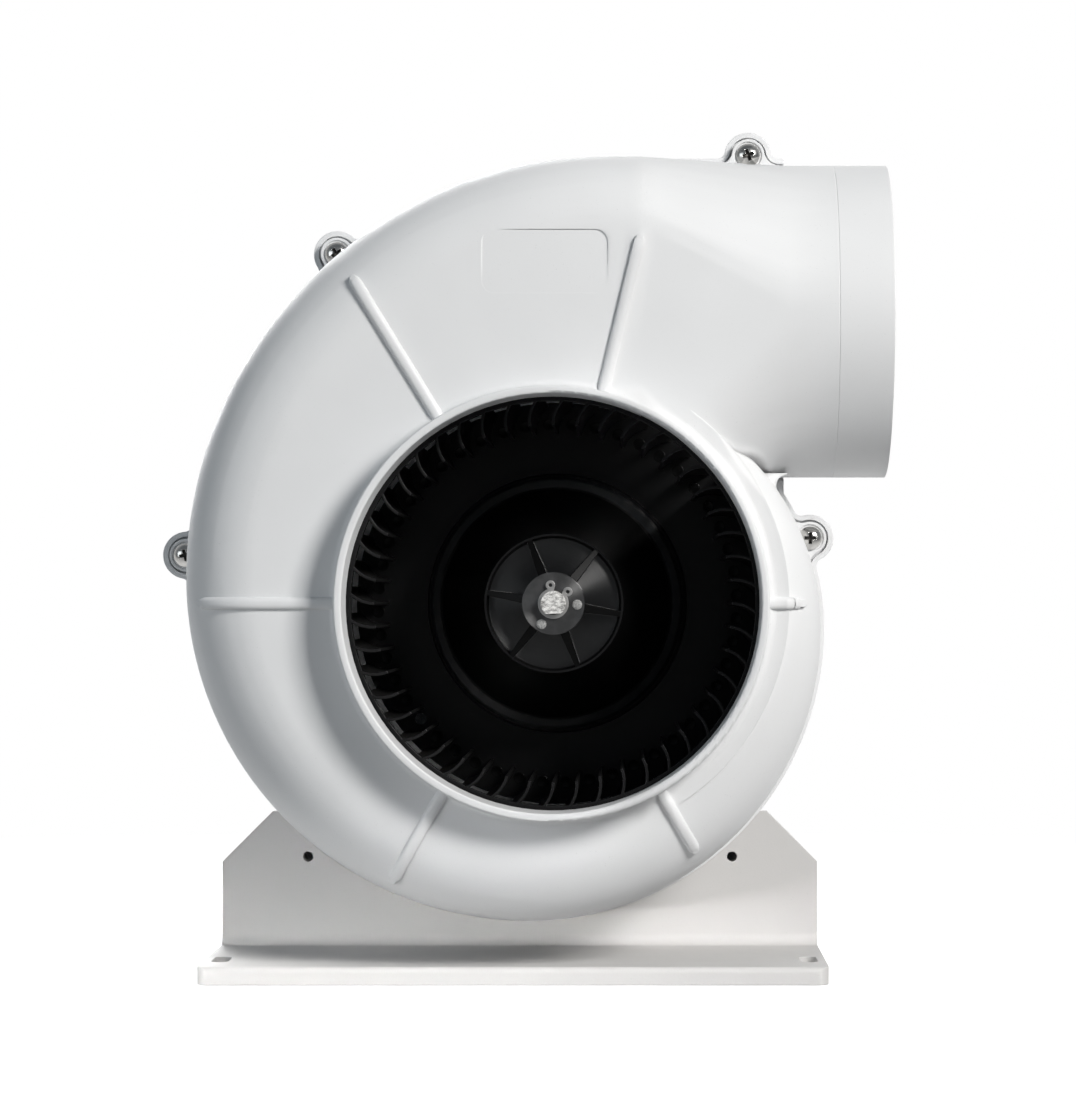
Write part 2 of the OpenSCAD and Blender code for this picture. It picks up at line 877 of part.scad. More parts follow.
module housing_inserts() {
    color("goldenrod")
        fan_frame()
            at_ears()
                translate([ear_out, 0, 0])
                    tube(insert_r, screw_r + thread_gap, -insert_len, 0);
}

// Curved plate of one blade, from the inner to the outer blade radius
module blade() {
    translate([blade_in_r, -blade_arc_r, -wheel_back + tiny])
        rotate([0, 0, 90 - blade_turn])
            rotate_extrude(angle = blade_turn)
                translate([blade_arc_r - blade_t / 2, 0])
                    square([blade_t, wheel_back + wheel_front - tiny]);
}

// Plate, shoulder, cone, dished hub disc and boss of the impeller as one section
module impeller_section() {
    dish = hub_front - hub_dish;
    polygon([
        [wheel_r - plate_rim, -wheel_back],
        [wheel_r - plate_rim, web_t - wheel_back],
        [plate_in_r, web_t - wheel_back],
        [shoulder_r + shoulder_w, shoulder_z - shoulder_drop],
        [shoulder_r + shoulder_flat_w, shoulder_z - shoulder_flat_drop],
        [shoulder_r, shoulder_z],
        [hub_r, hub_front],
        [hub_r - hub_lip, hub_front],
        [hub_r - 2 * hub_lip, dish],
        [boss_r, dish],
        [boss_r, boss_face],
        [0, boss_face],
        [0, boss_back],
        [boss_r, boss_back],
        [boss_r, dish - web_t],
        [hub_r - hub_lip / 2, dish - web_t],
        [shoulder_r - web_t, shoulder_z - web_t],
        [shoulder_r + shoulder_w - web_t, shoulder_z - shoulder_drop - web_t],
        [plate_in_r - web_t, -wheel_back]
    ]);
}

// Tapered gusset between the boss and the rim of the hub disc
module hub_gusset() {
    low = hub_front - hub_dish - embed;
    rim = hub_r - hub_lip;
    root = boss_r - cut;
    spread = 0.7;
    intersection() {
        rotate([90, 0, 0])
            translate([0, 0, -gusset_t])
                linear_extrude(2 * gusset_t)
                    polygon([
                        [root, low],
                        [rim, low],
                        [rim, hub_front],
                        [root, boss_face - cut]
                    ]);
        translate([0, 0, low - cut])
            linear_extrude(boss_face - low)
                polygon([
                    [root - cut, -gusset_t / 2 - spread],
                    [rim + cut, -gusset_t / 2],
                    [rim + cut, gusset_t / 2],
                    [root - cut, gusset_t / 2 + spread]
                ]);
    }
}

module shaft_bar(radius, flat, z0, z1) {
    translate([0, 0, z0])
        difference() {
            cylinder(r = radius, h = z1 - z0);
            translate([-radius, -radius - cut, -cut])
                cube([2 * radius, flat + cut, z1 - z0 + 2 * cut]);
        }
}

module impeller() {
    gusset_start = 51;
    bore_gap = 0.05;
    color("dimgray")
        fan_frame()
            difference() {
                union() {
                    rotate_extrude()
                        impeller_section();
                    for (i = [0 : blade_count - 1])
                        rotate([0, 0, i * 360 / blade_count])
                            blade();
                    tube(wheel_r, wheel_r - ring_w, wheel_front - ring_len, wheel_front);
                    for (i = [0 : gusset_count - 1])
                        rotate([0, 0, gusset_start + i * 360 / gusset_count])
                            hub_gusset();
                }
                shaft_bar(shaft_r + bore_gap, shaft_flat, boss_back - cut, boss_face + cut);
            }
}

module motor_shaft() {
    color("lightgray")
        fan_frame()
            difference() {
                union() {
                    shaft_bar(shaft_r, shaft_flat, boss_back, shaft_tip);
                    translate([0, 0, shaft_end])
                        cylinder(r = shaft_r, h = boss_back - shaft_end);
                }
                tube(shaft_r + cut, shaft_r - groove_depth, groove_z, groove_z + clip_t + 2 * clip_room);
            }
}

// Open ring that snaps into the shaft's groove, with two eyed lugs
module retaining_ring() {
    ring_in_r = shaft_r - groove_depth + clip_room;
    ring_wall = 0.9;
    ring_out_r = shaft_r + ring_wall;
    lug_r = 1.5;
    lug_reach = ring_out_r + lug_r * 2 / 3;
    eye_r = 0.6;
    lug_angles = [39, 99];
    gap_angle = 69;
    gap_w = 2.8;
    color("silver")
        fan_frame()
            translate([0, 0, groove_z + clip_room])
                difference() {
                    union() {
                        cylinder(r = ring_out_r, h = clip_t);
                        for (a = lug_angles)
                            rotate([0, 0, a])
                                translate([lug_reach, 0, 0])
                                    cylinder(r = lug_r, h = clip_t);
                    }
                    translate([0, 0, -cut])
                        cylinder(r = ring_in_r, h = clip_t + 2 * cut);
                    for (a = lug_angles)
                        rotate([0, 0, a])
                            translate([lug_reach, 0, -cut])
                                cylinder(r = eye_r, h = clip_t + 2 * cut);
                    rotate([0, 0, gap_angle])
                        translate([0, -gap_w / 2, -cut])
                            cube([ring_out_r + cut, gap_w, clip_t + 2 * cut]);
                }
}

// Drawn steel can with a bearing nose through the housing's web
module motor_can() {
    color("darkslategray")
        fan_frame()
            difference() {
                union() {
                    translate([0, 0, can_end])
                        cylinder(r = motor_r, h = motor_len);
                    translate([0, 0, can_z - tiny])
                        cylinder(r = nose_r, h = nose_len + tiny);
                }
                translate([0, 0, can_end - cut])
                    cylinder(r = can_in_r, h = motor_len - can_t + cut);
                translate([0, 0, can_z - can_t - cut])
                    cylinder(r = bushing_r, h = bushing_front_z - can_z + can_t + cut);
                translate([0, 0, can_z])
                    cylinder(r = shaft_r + shaft_room, h = nose_len + cut);
                for (s = [-1, 1])
                    translate([s * motor_screw_x, 0, can_z - can_t - cut])
                        cylinder(r = screw_r + thread_gap, h = can_t + 2 * cut);
            }
}

module motor_gasket() {
    color("black")
        fan_frame()
            difference() {
                tube(motor_r, nose_r + nose_gap, can_z, can_z + gasket_t);
                for (s = [-1, 1])
                    translate([s * motor_screw_x, 0, can_z - cut])
                        cylinder(r = screw_hole_r, h = gasket_t + 2 * cut);
            }
}

module motor_screws() {
    color("silver")
        fan_frame()
            for (s = [-1, 1])
                translate([s * motor_screw_x, 0, -cup_back])
                    screw(cup_web + gasket_t + can_t + motor_thread);
}

// Rear cap that closes the can and carries the rear bushing and the brushes
module motor_end_cap() {
    color("black")
        fan_frame()
            difference() {
                union() {
                    translate([0, 0, cap_end])
                        cylinder(r = motor_r, h = cap_t);
                    tube(can_in_r - skirt_gap, can_in_r - skirt_t, can_end - tiny, can_end + cap_skirt);
                    translate([0, 0, boss_end])
                        cylinder(r = nose_r, h = cap_boss_h + tiny);
                }
                translate([0, 0, bushing_rear_z])
                    cylinder(r = bushing_r, h = bushing_len + cap_t);
                for (a = brush_angles)
                    rotate([0, 0, a])
                        translate([cap_screw_x, 0, cap_end - cut])
                            cylinder(r = cap_screw_r + screw_gap, h = cap_t + 2 * cut);
                translate([0, grommet_y, cap_end - cut])
                    cylinder(r = grommet_r, h = cap_t + 2 * cut);
            }
}

// Screws through the end cap that hold the brush holders against its inside
module end_cap_screws() {
    color("silver")
        fan_frame()
            for (a = brush_angles)
                rotate([0, 0, a])
                    translate([cap_screw_x, 0, cap_end])
                        mirror([0, 0, 1])
                            difference() {
                                pan_screw(cap_t + cap_screw_grip, cap_screw_r, cap_head_r, cap_head_h);
                                translate([0, 0, cap_head_h])
                                    cross_recess(cap_recess_w, cap_recess_depth);
                            }
}

module front_bushing() {
    color("peru")
        fan_frame()
            tube(bushing_r, shaft_r + run_gap, bushing_front_z - bushing_len, bushing_front_z);
}

module rear_bushing() {
    color("peru")
        fan_frame()
            tube(bushing_r, shaft_r + run_gap, bushing_rear_z, bushing_rear_z + bushing_len);
}

// Two magnet arcs against the inside of the can
module magnets() {
    magnet_arc = 130;
    overhang = 2;
    color("dimgray")
        fan_frame()
            for (side = [0, 180])
                translate([0, 0, core_back - overhang])
                    rotate([0, 0, side + 90 - magnet_arc / 2])
                        rotate_extrude(angle = magnet_arc)
                            translate([can_in_r - magnet_t, 0])
                                square([magnet_t, core_front - core_back + 2 * overhang]);
}

module armature_core() {
    color("gray")
        fan_frame()
            difference() {
                tube(armature_r, shaft_r, core_back, core_front);
                for (i = [0 : pole_count - 1])
                    rotate([0, 0, i * 360 / pole_count])
                        translate([slot_floor, -pole_slot_w / 2, core_back - cut])
                            cube([armature_r, pole_slot_w, core_front - core_back + 2 * cut]);
            }
}

// Copper bars in the slots, joined by rounded end turns on both faces
module armature_winding() {
    slot_gap = 0.2;
    slot_mouth = 3;
    bar_t = pole_slot_w - 2 * slot_gap;
    end_r = armature_r - slot_mouth;
    color("chocolate")
        fan_frame() {
            for (i = [0 : pole_count - 1])
                rotate([0, 0, i * 360 / pole_count])
                    translate([slot_floor + slot_gap, -bar_t / 2, core_back - tiny])
                        cube([end_r - slot_floor - cut, bar_t, core_front - core_back + 2 * tiny]);
            translate([0, 0, core_front])
                end_turns(end_r);
            translate([0, 0, core_back])
                mirror([0, 0, 1])
                    end_turns(end_r);
        }
}

module end_turns(outer) {
    rounding = 2.5;
    rotate_extrude()
        difference() {
            half_section(outer, winding_len, rounding);
            translate([0, -cut])
                square([shaft_r + spacer_wall, winding_len + 2 * cut]);
        }
}

module commutator() {
    bar_gap = 0.5;
    bar_depth = 0.8;
    color("orange")
        fan_frame()
            difference() {
                tube(commutator_r, shaft_r, commutator_z, commutator_z + commutator_len);
                for (i = [0 : bar_count - 1])
                    rotate([0, 0, i * 360 / bar_count])
                        translate([commutator_r - bar_depth, -bar_gap / 2, commutator_z - cut])
                            cube([bar_depth + cut, bar_gap, commutator_len + 2 * cut]);
            }
}

// Sleeves on the shaft that set the armature and the commutator between the bushings
module shaft_spacers() {
    spacer_r = shaft_r + spacer_wall;
    color("ivory")
        fan_frame() {
            tube(spacer_r, shaft_r, core_front, bushing_front_z - bushing_len - end_play);
            tube(spacer_r, shaft_r, commutator_z + commutator_len, core_back);
            tube(spacer_r, shaft_r, bushing_rear_z + bushing_len + end_play, commutator_z);
        }
}

module brush_holders() {
    holder_w = 9;
    holder_room = 2;
    holder_in = commutator_r + holder_room;
    skirt_in = can_in_r - skirt_t - skirt_gap;
    holder_out = sqrt(skirt_in * skirt_in - holder_w * holder_w / 4);
    window = brush_w + 2 * brush_gap;
    color("goldenrod")
        fan_frame()
            for (a = brush_angles)
                rotate([0, 0, a])
                    difference() {
                        translate([holder_in, -holder_w / 2, can_end])
                            cube([holder_out - holder_in, holder_w, brush_z - can_end + holder_w / 2]);
                        translate([holder_in - cut, -window / 2, brush_z - window / 2])
                            cube([holder_out, window, window]);
                        translate([cap_screw_x, 0, can_end - cut])
                            cylinder(r = cap_screw_r + thread_gap, h = cap_screw_grip + tip_room + cut);
                    }
}

module brushes() {
    contact_gap = 0.3;
    brush_len = 10;
    color("black")
        fan_frame()
            for (a = brush_angles)
                rotate([0, 0, a])
                    translate([commutator_r + contact_gap, -brush_w / 2, brush_z - brush_w / 2])
                        cube([brush_len, brush_w, brush_w]);
}

module cable_grommet() {
    flange_r = grommet_r + grommet_wall;
    flange_t = 2;
    color("black")
        fan_frame()
            translate([0, grommet_y, 0]) {
                tube(grommet_r, lead_r, cap_end, can_end);
                tube(flange_r, lead_r, cap_end - flange_t, cap_end);
                tube(flange_r, lead_r, can_end, can_end + flange_t);
            }
}

// Side view of the foot: flange, upright plate and the fillets in the folds
module foot_section() {
    translate([-base_front, 0])
        square([base_front + base_back, base_t - edge_r]);
    translate([edge_r - base_front, 0])
        square([base_front + base_back - 2 * edge_r, base_t]);
    for (y = [edge_r - base_front, base_back - edge_r])
        translate([y, base_t - edge_r])
            circle(r = edge_r);
    translate([plate_y, 0])
        square([plate_t, plate_side_h]);
    for (fold = [[plate_y, -1], [plate_back, 1]])
        translate([fold[0], base_t])
            scale([fold[1], 1])
                difference() {
                    translate([-embed, -embed])
                        square(fold_r + embed);
                    translate([fold_r, fold_r])
                        circle(r = fold_r);
                }
}

// Front view of the upright plate with sloped corners and the yoke round the motor
module plate_outline() {
    half = base_w / 2;
    yoke_top = fan_z - yoke_drop;
    polygon([
        [-half, base_t / 2],
        [half, base_t / 2],
        [half, plate_side_h],
        [half - plate_chamfer, plate_top],
        [plate_chamfer - half, plate_top],
        [-half, plate_side_h]
    ]);
    translate([fan_offset, 0])
        difference() {
            union() {
                translate([-yoke_half_w, plate_top - cut])
                    square([2 * yoke_half_w, yoke_top - yoke_corner - plate_top + cut]);
                translate([yoke_corner - yoke_half_w, plate_top - cut])
                    square([2 * (yoke_half_w - yoke_corner), yoke_top - plate_top + cut]);
                for (s = [-1, 1])
                    translate([s * (yoke_half_w - yoke_corner), yoke_top - yoke_corner])
                        circle(r = yoke_corner);
            }
            translate([0, fan_z])
                circle(r = arch_r);
        }
}

module slot_outline() {
    for (s = [-1, 1])
        translate([0, s * (slot_len - slot_w) / 2])
            circle(r = slot_w / 2);
    square([slot_w, slot_len - slot_w], center = true);
}

// Places a child at each blind screw hole, with its axis towards the rear
module at_pilots(y) {
    for (s = [-1, 1])
        translate([s * pilot_x, y, pilot_z])
            rotate([-90, 0, 0])
                children();
}

module base_bracket() {
    length = base_front + base_back;
    color("gainsboro")
        difference() {
            union() {
                intersection() {
                    translate([-base_w / 2, 0, 0])
                        along_x(base_w)
                            foot_section();
                    translate([0, length / 2 - base_front, -cut])
                        linear_extrude(plate_side_h + 2 * cut)
                            rounded_box(base_w, length, corner_r);
                }
                translate([0, plate_back, 0])
                    rotate([90, 0, 0])
                        linear_extrude(plate_t)
                            plate_outline();
                for (s = [-1, 1])
                    translate([s * foot_gusset_x - foot_gusset_t / 2, plate_back - tiny, base_t - tiny])
                        along_x(foot_gusset_t)
                            polygon([[0, 0], [foot_gusset, 0], [0, foot_gusset]]);
                at_pilots(plate_back - embed)
                    cylinder(r = pilot_r + pilot_wall, h = pilot_boss_len + embed);
            }
            for (s = [-1, 1], y = [slot_front_y, slot_rear_y])
                translate([s * slot_x, y, -cut])
                    linear_extrude(base_t + 2 * cut)
                        slot_outline();
            at_pilots(plate_y - cut)
                cylinder(r = pilot_r, h = cut + plate_t + pilot_boss_len - pilot_floor);
            fan_frame()
                for (b = BOLTS)
                    translate([b[0], b[1], -plate_back - cut])
                        cylinder(r = screw_hole_r, h = plate_t + 2 * cut);
        }
}

module bracket_screws() {
    color("silver")
        fan_frame()
            for (b = BOLTS)
                translate([b[0], b[1], -plate_back - washer_t])
                    mirror([0, 0, 1])
                        screw(bolt_len);
}

module bracket_washers() {
    color("silver")
        fan_frame()
            for (b = BOLTS)
                translate([b[0], b[1], 0])
                    tube(washer_r, screw_hole_r, -plate_back - washer_t, -plate_back);
}

module bracket_inserts() {
    color("goldenrod")
        fan_frame()
            for (b = BOLTS)
                translate([b[0], b[1], 0])
                    tube(insert_r, screw_r + thread_gap, -plate_y, -plate_y + bolt_insert_len);
}

front_housing();
rear_housing();
outlet_collar();
housing_screws();
housing_inserts();
base_bracket();
bracket_screws();
bracket_washers();
bracket_inserts();
impeller();
motor_shaft();
retaining_ring();
motor_can();
motor_gasket();
motor_screws();
motor_end_cap();
end_cap_screws();
front_bushing();
rear_bushing();
magnets();
armature_core();
armature_winding();
commutator();
shaft_spacers();
brush_holders();
brushes();
cable_grommet();
cable_clip();
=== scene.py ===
"""Looks of the flange-mount bilge blower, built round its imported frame."""

import json
import math

import bmesh
import bpy
from mathutils import Matrix, Vector
from mathutils.bvhtree import BVHTree


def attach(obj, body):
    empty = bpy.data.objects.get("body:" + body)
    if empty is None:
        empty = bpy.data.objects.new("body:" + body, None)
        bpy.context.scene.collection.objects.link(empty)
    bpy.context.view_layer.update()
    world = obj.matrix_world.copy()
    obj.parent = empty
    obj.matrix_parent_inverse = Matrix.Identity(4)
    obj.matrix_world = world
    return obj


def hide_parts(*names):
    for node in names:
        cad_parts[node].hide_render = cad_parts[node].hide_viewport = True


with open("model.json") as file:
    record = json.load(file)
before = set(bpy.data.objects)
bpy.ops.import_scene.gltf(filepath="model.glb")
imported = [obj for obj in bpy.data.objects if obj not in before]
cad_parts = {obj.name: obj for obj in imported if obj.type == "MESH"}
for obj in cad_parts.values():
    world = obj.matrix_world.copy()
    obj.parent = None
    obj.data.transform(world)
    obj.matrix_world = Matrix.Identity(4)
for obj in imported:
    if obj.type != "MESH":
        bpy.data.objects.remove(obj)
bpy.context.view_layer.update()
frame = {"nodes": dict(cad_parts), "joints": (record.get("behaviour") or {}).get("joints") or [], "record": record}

MM = 0.001

# Photograph: size, place of the camera's axis and scale at the parting plane
IMAGE_W = 1076
IMAGE_H = 1113
AXIS_PX = (630, 600)
PX_PER_MM = 3.056
CAMERA_FROM = Vector((0.0374, -1.2, 0.1228))
SENSOR_MM = 36

# Frame: the fan's axis runs along Y through this point
AXIS = Vector(frame["joints"][0]["pos_m"])
FRONT = Vector((0, -1, 0))

# Mouldings: vertices closer than this are one, and edges sharper than this stay sharp, in degrees
WELD = 0.001 * MM
CREASE = 32

# Where the scroll blends into the outlet
BLEND_X = 41 * MM
BLEND_HALF_W = 14 * MM
BLEND_R = 9 * MM
EDGE_R = 0.5 * MM
THROAT = Vector((0.077, 0, 0.168))

# Label place on the front face
LABEL_MIDDLE = Vector((0.0107, 0, 0.211))
LABEL_REACH = 26 * MM
LABEL_FLOOR = -50.5 * MM
LABEL_TOUCH = 0.02 * MM
LABEL_LIFT = 0.275 * MM

# Notch at the end of the rear half's lip, as X and Z, and the X to which it is filled
LIP_NOTCH = Vector((85.64, 160.5)) * MM
LIP_TOUCH = 0.1 * MM
LIP_END_X = 87.5 * MM

# Ridges on the front face, in degrees about the fan's axis from +X towards +Z
RIDGE_ANGLES = (0, 76.5, 121.5, 180, 240, 300)
RIDGE_START = 66.8 * MM
RIDGE_HALF_W = 2.0 * MM
RIDGE_H = 1.7 * MM
RIDGE_SINK = 0.05 * MM
RIDGE_NOSE = 2.4 * MM
RIDGE_TIP = 0.05
RIDGE_SIDES = 14
RIDGE_POWERS = (2.6, 0.45)

# Impeller: its hub and its shoulder
HUB_R = 20.5 * MM
BOSS_R = 9.8 * MM
SHOULDER_R = 38.5 * MM
SHOULDER_W = 4 * MM
BLADES = 48

# Marks of ejector pins between the blades, of which one is bright and the rest are shallow pits painted near-black
# as shade
PIN_REACH = 60.2 * MM
PIN_R = 1.7 * MM
PIN_RIM = 0.3 * MM
PIN_RISE = 0.12 * MM
PIN_FLOOR = 0.02 * MM
PIN_PHASE = 2.75
PIN_BRIGHT = 29

# Broken gate stubs on the boss, with their dome as shares of radius and rise
GATE_REACH = 7.6 * MM
GATE_R = 1.6 * MM
GATE_RISE = 0.3 * MM
GATE_DOME = ((1, 0), (0.9, 0.8), (0.5, 1), (0, 0.7))
GATE_ANGLES = (-3, 240)
MARK_SIDES = 28

# Screws in the ears, with the turn of each cross from the leftmost screw to the rightmost
SCREW_TURNS = (15, 35, 20, 0)
SCREW_SIDES = 96
SCREW_CREASE = 35
HEAD_R = 3.8 * MM
HEAD_H = 2.6 * MM
HEAD_EDGE_H = 0.8 * MM
HEAD_STEPS = 42
HEAD_POWER = 2.4
SHANK_R = 1.9 * MM
CROSS_REACH = 1.9 * MM
CROSS_HALF_W = 0.52 * MM
CROSS_DEPTH = 1.3 * MM
CROSS_TAPER = 0.5
# Faces of the cross recess deeper than this share of its depth are painted dark as shade
CROSS_SHADE_FROM = 0.3


def radial(angle):
    """Unit vector away from the fan's axis at an angle in degrees."""
    turn = math.radians(angle)
    return Vector((math.cos(turn), 0, math.sin(turn)))


# Camera and light

def add_camera():
    data = bpy.data.cameras.new("camera")
    camera = bpy.data.objects.new("camera", data)
    bpy.context.scene.collection.objects.link(camera)
    focal_px = PX_PER_MM * -CAMERA_FROM.y / MM
    data.sensor_width = SENSOR_MM
    data.lens = focal_px * SENSOR_MM / IMAGE_H
    data.shift_x = (IMAGE_W / 2 - AXIS_PX[0]) / IMAGE_H
    data.shift_y = (AXIS_PX[1] - IMAGE_H / 2) / IMAGE_H
    camera.location = CAMERA_FROM
    camera.rotation_euler = (math.radians(90), 0, 0)
    bpy.context.scene.camera = camera


def add_area_light(name, place, target, size, power, colour, spread=180):
    data = bpy.data.lights.new(name, "AREA")
    data.shape = "RECTANGLE"
    data.size, data.size_y = size
    data.energy = power
    data.color = colour
    data.spread = math.radians(spread)
    lamp = bpy.data.objects.new(name, data)
    lamp.location = place
    lamp.rotation_euler = (Vector(target) - Vector(place)).to_track_quat("-Z", "Y").to_euler()
    bpy.context.scene.collection.objects.link(lamp)


class Tree:
    """Small helper for building a tree of shader nodes."""

    def __init__(self, tree):
        self.tree = tree

    def add(self, kind, **settings):
        node = self.tree.nodes.new(kind)
        for key, value in settings.items():
            setattr(node, key, value)
        return node

    def link(self, source, socket):
        """Feeds a socket from an output, or sets it to a plain value."""
        if isinstance(source, bpy.types.NodeSocket):
            self.tree.links.new(source, socket)
        else:
            socket.default_value = source

    def math(self, operation, *values):
        node = self.add("ShaderNodeMath", operation=operation)
        for value, socket in zip(values, node.inputs):
            self.link(value, socket)
        return node.outputs[0]

    def product(self, first, second):
        return self.math("MULTIPLY", first, second)

    def distance(self, across, up):
        """Length of two offsets at a right angle."""
        squares = self.math("ADD", self.product(across, across), self.product(up, up))
        return self.math("SQRT", squares)

    def split(self, vector):
        node = self.add("ShaderNodeSeparateXYZ")
        self.link(vector, node.inputs[0])
        return node.outputs

    def ramp(self, value, low, high, first, last):
        """Maps a value between low and high to a range of colours or numbers."""
        if isinstance(first, (int, float)):
            node = self.add("ShaderNodeMapRange")
            limits = {"From Min": low, "From Max": high, "To Min": first, "To Max": last}
            for key, number in limits.items():
                node.inputs[key].default_value = number
            self.link(value, node.inputs["Value"])
            return node.outputs["Result"]
        node = self.add("ShaderNodeValToRGB")
        node.color_ramp.elements[0].position = low
        node.color_ramp.elements[0].color = (*first, 1)
        node.color_ramp.elements[1].position = high
        node.color_ramp.elements[1].color = (*last, 1)
        self.link(value, node.inputs["Fac"])
        return node.outputs["Color"]

    def backdrop_share(self, behind):
        """How white rays see the backdrop: fully from the camera, less in mirrors that look ahead."""
        rays = self.add("ShaderNodeLightPath").outputs
        mirrored = self.math("MAXIMUM", rays["Is Glossy Ray"], rays["Is Transmission Ray"])
        return self.math("MAXIMUM", rays["Is Camera Ray"], self.product(mirrored, behind))


def add_world(light, shown):
    """World that lights the object softly and shows a white backdrop, in metal too."""
    ahead_level = 0.1
    fade = (-0.1, 0.4)
    world = bpy.data.worlds.new("studio")
    bpy.context.scene.world = world
    world.use_nodes = True
    world.node_tree.nodes.clear()
    t = Tree(world.node_tree)
    soft = t.add("ShaderNodeBackground")
    soft.inputs["Color"].default_value = (*light, 1)
    white = t.add("ShaderNodeBackground")
    white.inputs["Color"].default_value = (*shown, 1)
    towards = t.split(t.add("ShaderNodeTexCoord").outputs["Generated"])["Y"]
    behind = t.ramp(towards, *fade, ahead_level, 1.0)
    mix = t.add("ShaderNodeMixShader")
    t.link(t.backdrop_share(behind), mix.inputs[0])
    t.link(soft.outputs[0], mix.inputs[1])
    t.link(white.outputs[0], mix.inputs[2])
    t.link(mix.outputs[0], t.add("ShaderNodeOutputWorld").inputs["Surface"])


def add_floor():
    """Pale floor that holds the shadow near the object and turns into the backdrop far off."""
    half = 12
    drop = -0.2 * MM
    near, far = 0.2, 0.75
    ahead_level = 0.15
    bounce, paper_white = 0.35, 0.85
    near_glow = 0.7
    mesh = bpy.data.meshes.new("floor")
    corners = [(-half, -half, drop), (half, -half, drop), (half, half, drop), (-half, half, drop)]
    mesh.from_pydata(corners, [], [(0, 1, 2, 3)])
    floor = bpy.data.objects.new("floor", mesh)
    bpy.context.scene.collection.objects.link(floor)
    mat = bpy.data.materials.new("floor")
    mat.use_nodes = True
    t = Tree(mat.node_tree)
    bsdf = t.tree.nodes["Principled BSDF"]
    away = t.add("ShaderNodeVectorMath", operation="LENGTH")
    position = t.add("ShaderNodeNewGeometry").outputs["Position"]
    t.link(position, away.inputs[0])
    distance = away.outputs["Value"]
    behind = t.ramp(t.split(position)["Y"], -near, near, ahead_level, 1.0)
    seen = t.backdrop_share(behind)
    paper = t.ramp(seen, 0.0, 1.0, bounce, paper_white)
    glow = t.ramp(distance, near, far, near_glow, 1.0)
    t.link(t.product(paper, t.ramp(distance, near, far, 1.0, 0.0)), bsdf.inputs["Base Color"])
    bsdf.inputs["Roughness"].default_value = 0.9
    bsdf.inputs["Specular IOR Level"].default_value = 0.0
    bsdf.inputs["Emission Color"].default_value = (1, 1, 1, 1)
    t.link(t.product(seen, glow), bsdf.inputs["Emission Strength"])
    mesh.materials.append(mat)


# Materials

class Surface(Tree):
    """One procedural material on object coordinates."""

    def __init__(self, name):
        self.mat = bpy.data.materials.new(name)
        self.mat.use_nodes = True
        super().__init__(self.mat.node_tree)
        self.bsdf = self.tree.nodes["Principled BSDF"]
        self.coords = self.add("ShaderNodeTexCoord").outputs["Object"]

    def feed(self, name, source):
        self.link(source, self.bsdf.inputs[name])

    def noise(self, scale, detail=4, roughness=0.55, stretch=None, coords=None):
        node = self.add("ShaderNodeTexNoise")
        node.inputs["Scale"].default_value = scale
        node.inputs["Detail"].default_value = detail
        node.inputs["Roughness"].default_value = roughness
        coords = coords or self.coords
        if stretch:
            mapping = self.add("ShaderNodeMapping")
            mapping.inputs["Scale"].default_value = stretch
            self.link(coords, mapping.inputs["Vector"])
            coords = mapping.outputs[0]
        self.link(coords, node.inputs["Vector"])
        return node.outputs["Fac"]

    def blend(self, amount, colour, other):
        """Mixes a colour with another by a mask."""
        node = self.add("ShaderNodeMix", data_type="RGBA")
        self.link(amount, node.inputs[0])
        for source, socket in ((colour, node.inputs[6]), (other, node.inputs[7])):
            self.link((*source, 1) if isinstance(source, tuple) else source, socket)
        return node.outputs[2]

    def between(self, amount, first, last):
        """Number that goes from first to last as a mask goes from 0 to 1."""
        return self.ramp(amount, 0, 1, first, last)

    def within(self, reach, radius, soft):
        """Mask of what lies inside a radius, with a soft edge."""
        return self.ramp(reach, radius, radius + soft, 1.0, 0.0)

    def rounded(self, radius):
        """Normal with its edges softened by a radius."""
        node = self.add("ShaderNodeBevel", samples=8)
        self.link(radius, node.inputs["Radius"])
        return node.outputs["Normal"]

    def bump(self, height, depth, normal=None, strength=1.0):
        node = self.add("ShaderNodeBump")
        node.inputs["Distance"].default_value = depth
        self.link(strength, node.inputs["Strength"])
        self.link(height, node.inputs["Height"])
        if normal:
            self.link(normal, node.inputs["Normal"])
        return node.outputs["Normal"]

    def axial(self, low, high):
        """Mask of the faces that look along the fan's axis."""
        facing = self.split(self.add("ShaderNodeNewGeometry").outputs["True Normal"])["Y"]
        return self.ramp(self.math("ABSOLUTE", facing), low, high, 0.0, 1.0)

    def turned(self, scale):
        """Fine rings about the fan's axis, as a lathe leaves them, and the reach from that axis."""
        arcs_per_radian = 2.5
        shift = self.add("ShaderNodeVectorMath", operation="SUBTRACT")
        self.link(self.coords, shift.inputs[0])
        shift.inputs[1].default_value = AXIS
        x, _, z = self.split(shift.outputs[0])
        reach = self.distance(x, z)
        rings = self.add("ShaderNodeCombineXYZ")
        self.link(self.product(reach, scale), rings.inputs[0])
        self.link(self.product(self.math("ARCTAN2", z, x), arcs_per_radian), rings.inputs[1])
        return self.noise(1, 3, 0.7, coords=rings.outputs[0]), reach


def shade(colour, factor):
    return tuple(min(1.0, c * factor) for c in colour)


